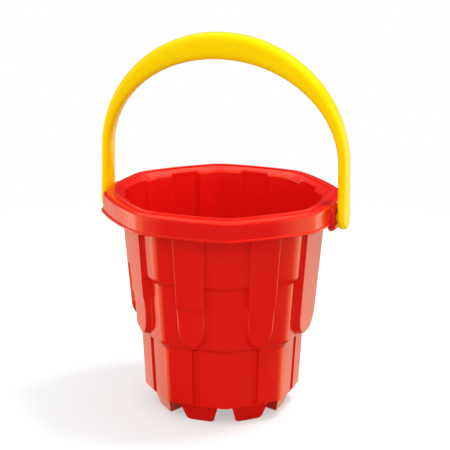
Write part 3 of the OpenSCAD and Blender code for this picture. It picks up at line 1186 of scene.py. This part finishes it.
def sweep_tree() -> bpy.types.NodeTree:
    """Geometry Nodes tree that sweeps a rounded section along a spine whose points hold its sizes.

    Returns:
        The tree.
    """
    tree = new_tree("SweepSections", [("Spine", "NodeSocketObject"), ("Sections", "NodeSocketInt"),
                                      ("Around", "NodeSocketInt"), ("Squareness", "NodeSocketFloat"),
                                      ("Weld", "NodeSocketFloat"), ("Material", "NodeSocketMaterial")],
                    [("Geometry", "NodeSocketGeometry")], "GeometryNodeTree")
    w = Wiring(tree)
    given = w.add("NodeGroupInput")
    grid = w.add("GeometryNodeMeshGrid", {"Size X": 1.0, "Size Y": 1.0, "Vertices X": given.outputs["Sections"],
                                          "Vertices Y": given.outputs["Around"]})
    place = w.add("ShaderNodeSeparateXYZ", {0: w.add("GeometryNodeInputPosition").outputs[0]})
    last = w.math("SUBTRACT", given.outputs["Sections"], 1.0)
    row = w.math("ROUND", w.math("MULTIPLY", w.math("ADD", place.outputs["X"], 0.5), last))
    angle = w.math("MULTIPLY", w.math("ADD", place.outputs["Y"], 0.5), 2 * math.pi)
    power = w.math("DIVIDE", 2.0, given.outputs["Squareness"])
    info = w.add("GeometryNodeObjectInfo", {"Object": given.outputs["Spine"]})

    def rounded(operation: str) -> bpy.types.NodeSocket:
        """Sine or cosine of the angle, drawn towards a square."""
        wave = w.math(operation, angle)
        return w.math("MULTIPLY", w.math("SIGN", wave), w.math("POWER", w.math("ABSOLUTE", wave), power))

    def sampled(value: bpy.types.NodeSocket, data_type: str) -> bpy.types.NodeSocket:
        """Value of the spine's point for this row."""
        return w.add("GeometryNodeSampleIndex", {"Geometry": info.outputs["Geometry"], "Value": value, "Index": row},
                     data_type=data_type).outputs[0]

    centre = sampled(w.add("GeometryNodeInputPosition").outputs[0], "FLOAT_VECTOR")
    named_across = w.add("GeometryNodeInputNamedAttribute", {"Name": "across"}, data_type="FLOAT_VECTOR")
    named_width = w.add("GeometryNodeInputNamedAttribute", {"Name": "half_width"}, data_type="FLOAT")
    across = sampled(named_across.outputs[0], "FLOAT_VECTOR")
    width = sampled(named_width.outputs[0], "FLOAT")
    outward = w.add("ShaderNodeVectorMath", {0: across, "Scale": rounded("COSINE")}, operation="SCALE").outputs[0]
    sideways = w.add("ShaderNodeCombineXYZ", {"Y": w.math("MULTIPLY", width, rounded("SINE"))}).outputs[0]
    off = w.add("ShaderNodeVectorMath", {0: outward, 1: sideways}, operation="ADD").outputs[0]
    at = w.add("ShaderNodeVectorMath", {0: centre, 1: off}, operation="ADD").outputs[0]
    tube = w.add("GeometryNodeSetPosition", {"Geometry": grid.outputs["Mesh"], "Position": at})
    real = w.add("GeometryNodeRealizeInstances", {"Geometry": tube.outputs[0]})
    sewn = w.add("GeometryNodeMergeByDistance", {"Geometry": real.outputs[0], "Distance": given.outputs["Weld"]})
    dressed = w.add("GeometryNodeSetMaterial", {"Geometry": sewn.outputs[0], "Material": given.outputs["Material"]})
    w.add("NodeGroupOutput", {"Geometry": dressed.outputs[0]})
    return tree


# ---------------------------------------------------------------- finishes


def moulded_surface_group() -> bpy.types.NodeTree:
    """Shader group for moulded plastic: slight colour drift, paler edges that are rubbed and also carry a painted
    highlight, rubbed gloss and a fine grain.

    Returns:
        The group, which is made once.
    """
    found = bpy.data.node_groups.get("MouldedSurface")
    if found:
        return found
    tree = new_tree("MouldedSurface",
                    [("Colour", "NodeSocketColor"), ("Worn Colour", "NodeSocketColor"), ("Drift", "NodeSocketFloat"),
                     ("Wear", "NodeSocketFloat"), ("Roughness", "NodeSocketFloat"), ("Scuffs", "NodeSocketFloat")],
                    [("Colour", "NodeSocketColor"), ("Roughness", "NodeSocketFloat"), ("Height", "NodeSocketFloat")],
                    "ShaderNodeTree")
    w = Wiring(tree)
    given = w.add("NodeGroupInput")
    where = w.add("ShaderNodeTexCoord").outputs["Object"]
    broad = w.add("ShaderNodeTexNoise", {"Vector": where, "Scale": 22.0, "Detail": 2.0}).outputs["Fac"]
    patchy = w.add("ShaderNodeTexNoise", {"Vector": where, "Scale": 160.0, "Detail": 4.0, "Roughness": 0.6})
    ripple = w.add("ShaderNodeTexNoise", {"Vector": where, "Scale": 420.0, "Detail": 1.0}).outputs["Fac"]
    grain = w.add("ShaderNodeTexNoise", {"Vector": where, "Scale": 2600.0, "Detail": 2.0}).outputs["Fac"]
    drift = w.math("MULTIPLY_ADD", w.math("SUBTRACT", broad, 0.5), given.outputs["Drift"], 1.0)
    toned = w.add("ShaderNodeVectorMath", {0: given.outputs["Colour"], "Scale": drift}, operation="SCALE").outputs[0]
    # Paler colour in patches on sharp convex edges: rubbing of the plastic and a painted highlight along the edges.
    sharp = w.add("ShaderNodeNewGeometry").outputs["Pointiness"]
    edge = w.add("ShaderNodeMapRange", {"Value": sharp, "From Min": 0.53, "From Max": 0.62}).outputs[0]
    rubbed_and_sheen = w.math("MULTIPLY", w.math("MULTIPLY", edge, patchy.outputs["Fac"]), given.outputs["Wear"])
    colour = w.add("ShaderNodeMix", {0: rubbed_and_sheen, 6: toned, 7: given.outputs["Worn Colour"]}, data_type="RGBA")
    rubbed = w.math("MULTIPLY", w.math("SUBTRACT", patchy.outputs["Fac"], 0.45), given.outputs["Scuffs"])
    rough = w.math("ADD", given.outputs["Roughness"], w.math("MAXIMUM", rubbed, -0.02))
    height = w.math("ADD", w.math("MULTIPLY", ripple, 0.8), w.math("MULTIPLY", grain, 0.2))
    w.add("NodeGroupOutput", {"Colour": colour.outputs[2], "Roughness": rough, "Height": height})
    return tree


@dataclass(frozen=True)
class PlasticFinish:
    """A glossy moulded plastic.

    Attributes:
        name: Name of the material.
        slot: Name of the record's material slot, which is not used.
        colour: Base colour.
        rubbed_and_sheen: Colour of a rubbed edge, which is also a painted highlight along sharp edges.
        roughness: Roughness of the clean surface.
        drift: How much the colour varies over the piece.
        rubbing_and_sheen: How much the edges are rubbed and paled by the painted edge highlight.
        scuffs: How much the gloss varies.
        shine: Colour of the reflections seen head on.
        ior: Index of refraction.
        bump: Strength of the surface's fine unevenness.
    """

    name: str
    slot: str
    colour: tuple[float, float, float]
    rubbed_and_sheen: tuple[float, float, float]
    roughness: float
    drift: float = 0.08
    rubbing_and_sheen: float = 0.25
    scuffs: float = 0.12
    shine: tuple[float, float, float] = (1.0, 1.0, 1.0)
    ior: float = 1.5
    bump: float = 0.015

    def material(self) -> bpy.types.Material:
        """Returns the material, which is made once.

        Returns:
            The material.
        """
        found = bpy.data.materials.get(self.name)
        if found:
            return found
        made = bpy.data.materials.new(self.name)
        made.use_nodes = True
        made.diffuse_color = (*self.colour, 1.0)
        w = Wiring(made.node_tree)
        shader = made.node_tree.nodes["Principled BSDF"]
        group = w.add("ShaderNodeGroup", node_tree=moulded_surface_group())
        values = {"Colour": (*self.colour, 1.0), "Worn Colour": (*self.rubbed_and_sheen, 1.0), "Drift": self.drift,
                  "Wear": self.rubbing_and_sheen, "Roughness": self.roughness, "Scuffs": self.scuffs}
        for label, value in values.items():
            group.inputs[label].default_value = value
        bump = w.add("ShaderNodeBump", {"Strength": self.bump, "Distance": 0.0002, "Height": group.outputs["Height"]})
        links = made.node_tree.links
        links.new(group.outputs["Colour"], shader.inputs["Base Color"])
        links.new(group.outputs["Roughness"], shader.inputs["Roughness"])
        links.new(bump.outputs["Normal"], shader.inputs["Normal"])
        shader.inputs["IOR"].default_value = self.ior
        shader.inputs["Specular Tint"].default_value = (*self.shine, 1.0)
        return made


# The second colour of each finish paints the paler edges: rubbed plastic and a painted highlight along sharp edges.
RED_PLASTIC = PlasticFinish("red_plastic", "bucket_plastic", (0.78, 0.008, 0.005), (0.88, 0.07, 0.03), 0.13)
YELLOW_PLASTIC = PlasticFinish("yellow_plastic", "handle_plastic", (1.0, 0.66, 0.0), (1.0, 0.78, 0.08), 0.2,
                               bump=0.008, shine=(1.0, 0.8, 0.2), ior=1.45)


# ---------------------------------------------------------------- studio


@dataclass(frozen=True)
class SoftBox:
    """A soft square light that faces the bucket.

    Attributes:
        name: Name of the light.
        azimuth: Degrees round the bucket, counted like the camera's.
        elevation: Degrees above the ground.
        size: Length of a side in metres.
        power: Watts.
        distance: Metres from the bucket.
    """

    name: str
    azimuth: float
    elevation: float
    size: float
    power: float
    distance: float = 1.6


@dataclass(frozen=True)
class Studio:
    """Camera, floor and soft lights.

    Attributes:
        azimuth: Degrees round the bucket; 0 looks along +Y.
        elevation: Degrees above the ground.
        distance: From the target to the camera, in millimetres.
        lens: Focal length in millimetres.
        target_z: Height that the camera looks at.
        target_right: How far right of the axis it looks.
        roll: Degrees that the camera leans.
        strip: Brightness of the soft boxes at the sides, in reflections.
        behind: Brightness behind the bucket, in reflections.
        above: Brightness of the soft box above the camera, in reflections.
        dark: Brightness of the rest, in reflections.
        ambient: Brightness of the room on matt surfaces.
        tint: Colour of the reflected soft boxes.
        tint_behind: Colour of the reflected room behind the bucket.
        floor_colour: Colour of the floor.
        floor_glow: Brightness that the floor adds for the camera.
        boxes: The soft lights.
    """

    azimuth: float = 20.05
    elevation: float = 15.678
    distance: float = 1211.1
    lens: float = 130.95
    target_z: float = 137.5
    target_right: float = 1.48
    roll: float = 0.3185
    strip: float = 2.6
    behind: float = 1.5
    above: float = 1.6
    dark: float = 0.02
    ambient: float = 0.80
    tint: tuple[float, float, float] = (1.0, 0.72, 0.3)
    tint_behind: tuple[float, float, float] = (1.0, 0.84, 0.6)
    floor_colour: tuple[float, float, float] = (0.54, 0.58, 0.58)
    floor_glow: float = 0.435
    boxes: tuple[SoftBox, ...] = (SoftBox("key", 116, 68, 0.42, 16.5), SoftBox("left", -50, 25, 1.0, 4),
                                  SoftBox("front", 30, 25, 1.0, 4.5))

    def camera(self) -> bpy.types.Object:
        """Makes the camera.

        Returns:
            The camera's object.
        """
        a, e = math.radians(self.azimuth), math.radians(self.elevation)
        back = Vector((math.sin(a) * math.cos(e), -math.cos(a) * math.cos(e), math.sin(e)))
        right = Vector((math.cos(a), math.sin(a), 0))
        data = bpy.data.cameras.new("camera")
        data.lens = self.lens
        data.sensor_width = 36.0
        data.clip_end = 20.0
        made = bpy.data.objects.new("camera", data)
        target = right * self.target_right * MM + Vector((0, 0, self.target_z * MM))
        made.location = target + back * self.distance * MM
        made.rotation_mode = "QUATERNION"
        turned = (-back).to_track_quat("-Z", "Y")
        made.rotation_quaternion = turned @ Quaternion((0, 0, 1), math.radians(self.roll))
        bpy.context.scene.collection.objects.link(made)
        bpy.context.scene.camera = made
        return made

    def floor(self) -> bpy.types.Object:
        """Makes the pale floor, a wide round sheet with a gently raised edge.

        Returns:
            The floor's object.
        """
        work = bmesh.new()
        loops = []
        for radius, height in FLOOR_RINGS:
            loops.append([work.verts.new((radius * math.cos(a), radius * math.sin(a), height))
                          for a in np.linspace(0, 2 * math.pi, FLOOR_SIDES + 1)[:-1]])
        work.faces.new(loops[0])
        for inner, outer in zip(loops, loops[1:]):
            for k in range(FLOOR_SIDES):
                work.faces.new((inner[k], outer[k], outer[(k + 1) % FLOOR_SIDES], inner[(k + 1) % FLOOR_SIDES]))
        mesh = bpy.data.meshes.new("floor")
        work.to_mesh(mesh)
        work.free()
        made = hidden_object(mesh)
        point_outwards(mesh)
        material = bpy.data.materials.new("pale_floor")
        material.use_nodes = True
        w = Wiring(material.node_tree)
        shader = material.node_tree.nodes["Principled BSDF"]
        shader.inputs["Base Color"].default_value = (*self.floor_colour, 1)
        shader.inputs["Roughness"].default_value = 0.9
        shader.inputs["Specular IOR Level"].default_value = 0.0
        path = w.add("ShaderNodeLightPath")
        clear = w.add("ShaderNodeBsdfTransparent")
        strength = w.math("MULTIPLY", path.outputs["Is Camera Ray"], self.floor_glow)
        glow = w.add("ShaderNodeEmission", {"Color": (1, 1, 1, 1), "Strength": strength})
        lit = w.add("ShaderNodeAddShader", {0: shader.outputs[0], 1: glow.outputs[0]})
        where = w.add("ShaderNodeTexCoord").outputs["Object"]
        far = w.add("ShaderNodeVectorMath", {0: where}, operation="LENGTH").outputs["Value"]
        gone = w.add("ShaderNodeMapRange", {"Value": far, "From Min": 0.25, "From Max": 0.6}).outputs[0]
        unseen = w.math("MULTIPLY", gone, path.outputs["Is Camera Ray"])
        through = w.math("MAXIMUM", path.outputs["Is Glossy Ray"], unseen)
        mixed = w.add("ShaderNodeMixShader", {0: through, 1: lit.outputs[0], 2: clear.outputs[0]})
        output = material.node_tree.nodes["Material Output"]
        material.node_tree.links.new(mixed.outputs[0], output.inputs["Surface"])
        mesh.materials.append(material)
        return made

    def light(self, box: SoftBox) -> bpy.types.Object:
        """Makes one soft light.

        Args:
            box: Its place, size and power.

        Returns:
            The light's object.
        """
        a, e = math.radians(box.azimuth), math.radians(box.elevation)
        back = Vector((math.sin(a) * math.cos(e), -math.cos(a) * math.cos(e), math.sin(e)))
        data = bpy.data.lights.new(box.name, "AREA")
        data.shape = "RECTANGLE"
        data.size, data.size_y = box.size, box.size
        data.energy = box.power
        made = bpy.data.objects.new(box.name, data)
        made.location = Vector((0, 0, 0.12)) + back * box.distance
        made.rotation_mode = "QUATERNION"
        made.rotation_quaternion = (-back).to_track_quat("-Z", "Y")
        made.visible_glossy = False
        made.visible_camera = False
        bpy.context.scene.collection.objects.link(made)
        return made

    def world(self) -> None:
        """Makes the bright room, whose reflection is dark in front, with soft boxes at the sides and above."""
        world = bpy.data.worlds.new("room")
        bpy.context.scene.world = world
        world.use_nodes = True
        world.cycles.sampling_method = "NONE"
        w = Wiring(world.node_tree)
        background = world.node_tree.nodes["Background"]
        way = w.add("ShaderNodeTexCoord").outputs["Generated"]
        a = math.radians(self.azimuth)

        def along(axis: tuple[float, float, float]) -> bpy.types.NodeSocket:
            """Share of the direction that points along an axis."""
            return w.add("ShaderNodeVectorMath", {0: way, 1: axis}, operation="DOT_PRODUCT").outputs["Value"]

        def fade(value: bpy.types.NodeSocket, start: float, end: float, low: float,
                 high: float) -> bpy.types.NodeSocket:
            """Soft step of a value."""
            return w.add("ShaderNodeMapRange", {"Value": value, "From Min": start, "From Max": end, "To Min": low,
                                                "To Max": high}, interpolation_type="SMOOTHSTEP").outputs[0]

        ahead = along((math.sin(a), -math.cos(a), 0.0))
        side = w.math("ABSOLUTE", along((math.cos(a), math.sin(a), 0.0)))
        up = along((0.0, 0.0, 1.0))
        strips = w.math("MULTIPLY", w.math("MULTIPLY", fade(side, 0.74, 0.93, 0.0, self.strip),
                                            fade(up, -0.6, -0.4, 0.0, 1.0)), fade(up, 0.35, 0.55, 1.0, 0.0))
        back_wall = w.math("MULTIPLY", fade(up, -0.7, -0.4, 0.2, 1.0), fade(ahead, -0.95, -0.65, 0.42, 1.0))
        behind = w.math("MULTIPLY", w.math("MULTIPLY", fade(ahead, 0.15, -0.4, 0.0, self.behind), back_wall),
                        fade(up, -0.05, 0.15, 1.0, 0.08))
        above = w.math("MULTIPLY", fade(up, 0.45, 0.8, 0.0, self.above), fade(up, 0.9, 0.98, 1.0, 0.3))
        room = w.math("ADD", w.math("ADD", strips, behind), w.math("ADD", above, self.dark))
        path = w.add("ShaderNodeLightPath")
        plain = w.math("MAXIMUM", path.outputs["Is Camera Ray"], self.ambient)
        glossy = path.outputs["Is Glossy Ray"]
        level = w.add("ShaderNodeMix", {"Factor": 0.0}, data_type="FLOAT")
        tint = w.add("ShaderNodeMix", data_type="RGBA")
        links = world.node_tree.links
        links.new(glossy, level.inputs[0])
        links.new(plain, level.inputs[2])
        links.new(room, level.inputs[3])
        links.new(glossy, tint.inputs[0])
        tint.inputs[6].default_value = (1, 1, 1, 1)
        warm = w.add("ShaderNodeMix", data_type="RGBA")
        links.new(fade(ahead, 0.1, -0.5, 0.0, 1.0), warm.inputs[0])
        warm.inputs[6].default_value = (*self.tint, 1)
        warm.inputs[7].default_value = (*self.tint_behind, 1)
        links.new(warm.outputs[2], tint.inputs[7])
        links.new(level.outputs[0], background.inputs["Strength"])
        links.new(tint.outputs[2], background.inputs["Color"])

    def build(self) -> None:
        """Makes everything round the bucket."""
        self.camera()
        self.floor()
        self.world()
        for box in self.boxes:
            self.light(box)
        bpy.context.scene.view_settings.view_transform = "Standard"


# ---------------------------------------------------------------- main


def main() -> None:
    """Builds the bucket and the handle round the frame, dresses them and sets up the studio."""
    _, bucket_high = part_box("bucket")
    _, handle_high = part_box("handle")
    hinge_z = frame["joints"][0]["pos_m"][2] / MM
    sizes = BucketSizes(rim_z=bucket_high.z / MM, lip_y=bucket_high.y / MM, ear_x=bucket_high.x / MM, hinge_z=hinge_z)
    bucket = Bucket(sizes, RED_PLASTIC)
    skirt_x = (sizes.skirt_r - sizes.wall) * (COS_HALF + sizes.rim_bow)
    handle = Handle(HandleSizes(hinge_z=hinge_z, top_z=handle_high.z / MM, out_x=handle_high.x / MM,
                                skirt_x=skirt_x), YELLOW_PLASTIC)
    for maker, node in ((bucket, "bucket"), (handle, "handle")):
        piece = maker.build()
        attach(piece, node)
        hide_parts(node)
        piece.data.calc_loop_triangles()
        log.info("%s: %d triangles", piece.name, len(piece.data.loop_triangles))
    Studio().build()


if __name__ == "__main__":
    main()
